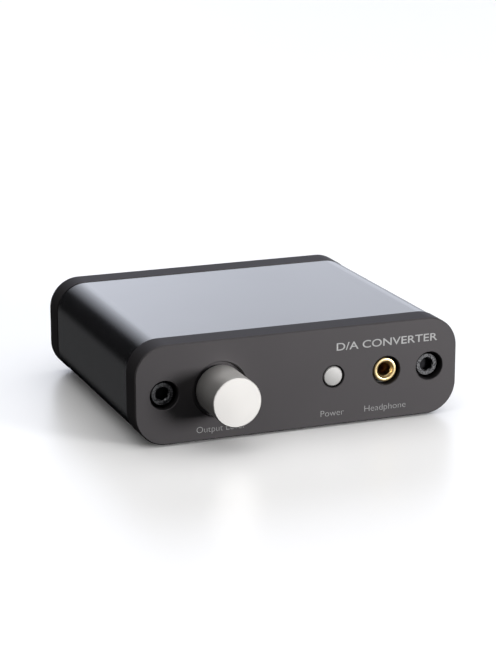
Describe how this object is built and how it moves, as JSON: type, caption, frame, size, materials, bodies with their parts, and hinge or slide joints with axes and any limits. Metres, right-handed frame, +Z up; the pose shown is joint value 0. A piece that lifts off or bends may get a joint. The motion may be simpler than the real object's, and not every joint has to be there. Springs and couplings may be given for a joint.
{
  "type": "desktop digital-to-analogue converter",
  "caption": "Palm-sized desktop digital-to-analogue converter: anodised sleeve between two thick end panels, volume knob, push button, headphone socket and rear sockets.",
  "frame": {"origin": "on the table, under the middle of the whole unit's box", "axes": "+Z up, the front panel and its knob towards -Y, the rear sockets towards +Y, the left phono socket's side towards +X"},
  "size_m": [0.089, 0.0978, 0.0267],
  "materials": {
    "panel_anodised": "fine bead-blasted, anodised near black, satin",
    "sleeve_anodised": "satin black anodised extrusion",
    "black_oxide": "black oxide with a light oil sheen",
    "foot_rubber": "matte",
    "board": "green solder mask over glass laminate",
    "knob_aluminium": "fine turned and blasted, clear anodised",
    "button_aluminium": "satin, clear anodised",
    "gold_plate": "polished gold plate",
    "plated_steel": "bright nickel plate",
    "spring_steel": "drawn wire",
    "tinned_leads": "tinned",
    "black_plastic": "moulded, fine texture",
    "white_plastic": "moulded, smooth",
    "red_plastic": "moulded, semi-gloss",
    "tan_laminate": "phenolic laminate",
    "track_carbon": "carbon film",
    "sensor_lens": "clear dark moulded lens",
    "chip_epoxy": "moulded epoxy",
    "capacitor_sleeve": "aluminium can with a printed sleeve",
    "ferrite": "sintered ferrite",
    "resistor_ceramic": "glazed chip",
    "capacitor_ceramic": "fired ceramic",
    "printed_ink": "screen-printed ink"
  },
  "bodies": {
    "chassis": {"front_panel": "panel_anodised", "rear_panel": "panel_anodised", "sleeve": "sleeve_anodised", "front_screws": "black_oxide", "rear_screws": "black_oxide", "rubber_feet": "foot_rubber", "main_board": "board", "pot_track": "track_carbon", "pot_housing": "black_plastic", "pot_bushing": "plated_steel", "pot_terminals": "tinned_leads", "switch_spring": "spring_steel", "switch_body": "black_plastic", "switch_base": "tan_laminate", "switch_terminals": "tinned_leads", "headphone_housing": "black_plastic", "headphone_ferrule": "gold_plate", "headphone_contacts": "gold_plate", "rca_housing": "black_plastic", "rca_barrel_left": "gold_plate", "rca_barrel_right": "gold_plate", "rca_core_left": "white_plastic", "rca_core_right": "red_plastic", "rca_contact_left": "gold_plate", "rca_contact_right": "gold_plate", "usb_shell": "plated_steel", "usb_insulator": "white_plastic", "usb_contacts": "gold_plate", "optical_housing": "black_plastic", "shutter_pin": "plated_steel", "shutter_spring": "spring_steel", "optical_sensor": "sensor_lens", "optical_pins": "tinned_leads", "usb_chip": "chip_epoxy", "dac_chip": "chip_epoxy", "opamp_chips": "chip_epoxy", "regulator_chip": "chip_epoxy", "clock_crystal": "plated_steel", "electrolytic_caps": "capacitor_sleeve", "ferrite_inductor": "ferrite", "chip_resistors": "resistor_ceramic", "chip_capacitors": "capacitor_ceramic"},
    "volume_knob": {"volume_knob": "knob_aluminium", "knob_insert": "black_plastic", "pot_shaft": "plated_steel", "pot_rotor": "white_plastic", "pot_wipers": "gold_plate"},
    "power_button": {"power_button": "button_aluminium", "switch_plunger": "white_plastic"},
    "optical_shutter": {"optical_shutter": "black_plastic"}
  },
  "joints": [
    {"name": "volume_turn", "type": "hinge", "parent": "chassis", "child": "volume_knob", "pos_m": [-0.0218, -0.0366, 0.0136], "axis": [0, 1, 0], "range_deg": [-150, 150]},
    {"name": "power_press", "type": "slide", "parent": "chassis", "child": "power_button", "axis": [0, 1, 0], "range_m": [0, 0.0015], "stiffness_N_per_m": 600, "springref_m": -0.0015, "deforming": ["switch_spring"]},
    {"name": "shutter_swing", "type": "hinge", "parent": "chassis", "child": "optical_shutter", "pos_m": [-0.023, 0.0379, 0.0182], "axis": [-1, 0, 0], "range_deg": [0, 85], "stiffness_Nm_per_rad": 0.0002, "springref_deg": -57.3, "deforming": ["shutter_spring"]}
  ]
}
